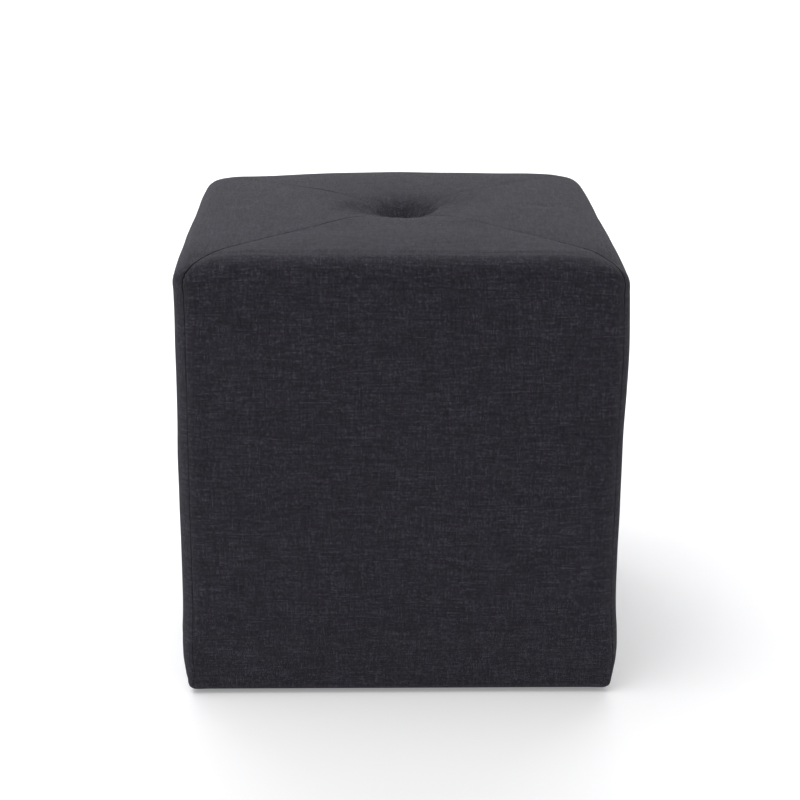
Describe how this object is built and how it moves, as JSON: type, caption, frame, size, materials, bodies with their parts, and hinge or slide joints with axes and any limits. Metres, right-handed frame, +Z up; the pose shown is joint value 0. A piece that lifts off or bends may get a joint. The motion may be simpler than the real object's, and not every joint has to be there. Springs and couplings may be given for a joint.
{
  "type": "tufted cube ottoman",
  "caption": "Cube ottoman with a fixed seat, a cover of mitred gores and one deep central tuft, on low glides.",
  "frame": {"origin": "middle of the base, on the floor under the glides", "axes": "+Z up, front face towards -Y, +X to the right as seen from the front"},
  "size_m": [0.43, 0.43, 0.448],
  "materials": {
    "cover_cloth": "matte",
    "wadding": "matte",
    "foam": "matte",
    "twine": "matte",
    "plywood": "matte",
    "pine": "matte",
    "steel": "satin",
    "dust_cloth": "matte",
    "glide_plastic": "satin"
  },
  "bodies": {
    "root": {"cover_front": "cover_cloth", "cover_right": "cover_cloth", "cover_back": "cover_cloth", "cover_left": "cover_cloth", "seat_wadding": "wadding", "seat_foam": "foam", "side_foam_front": "foam", "side_foam_right": "foam", "side_foam_back": "foam", "side_foam_left": "foam", "button_cover": "cover_cloth", "button_shell": "steel", "button_eye": "steel", "tufting_twine": "twine", "twine_toggle": "steel", "deck": "plywood", "deck_screws": "steel", "panel_front": "plywood", "panel_right": "plywood", "panel_back": "plywood", "panel_left": "plywood", "panel_staples": "steel", "post_front_left": "pine", "post_front_right": "pine", "post_back_left": "pine", "post_back_right": "pine", "base_rail_front": "pine", "base_rail_right": "pine", "base_rail_back": "pine", "base_rail_left": "pine", "top_rail_front": "pine", "top_rail_right": "pine", "top_rail_back": "pine", "top_rail_left": "pine", "hem_staples": "steel", "dust_cover": "dust_cloth", "dust_cover_staples": "steel", "glide_front_left": "glide_plastic", "glide_front_right": "glide_plastic", "glide_back_left": "glide_plastic", "glide_back_right": "glide_plastic", "glide_screws": "steel"}
  },
  "joints": []
}
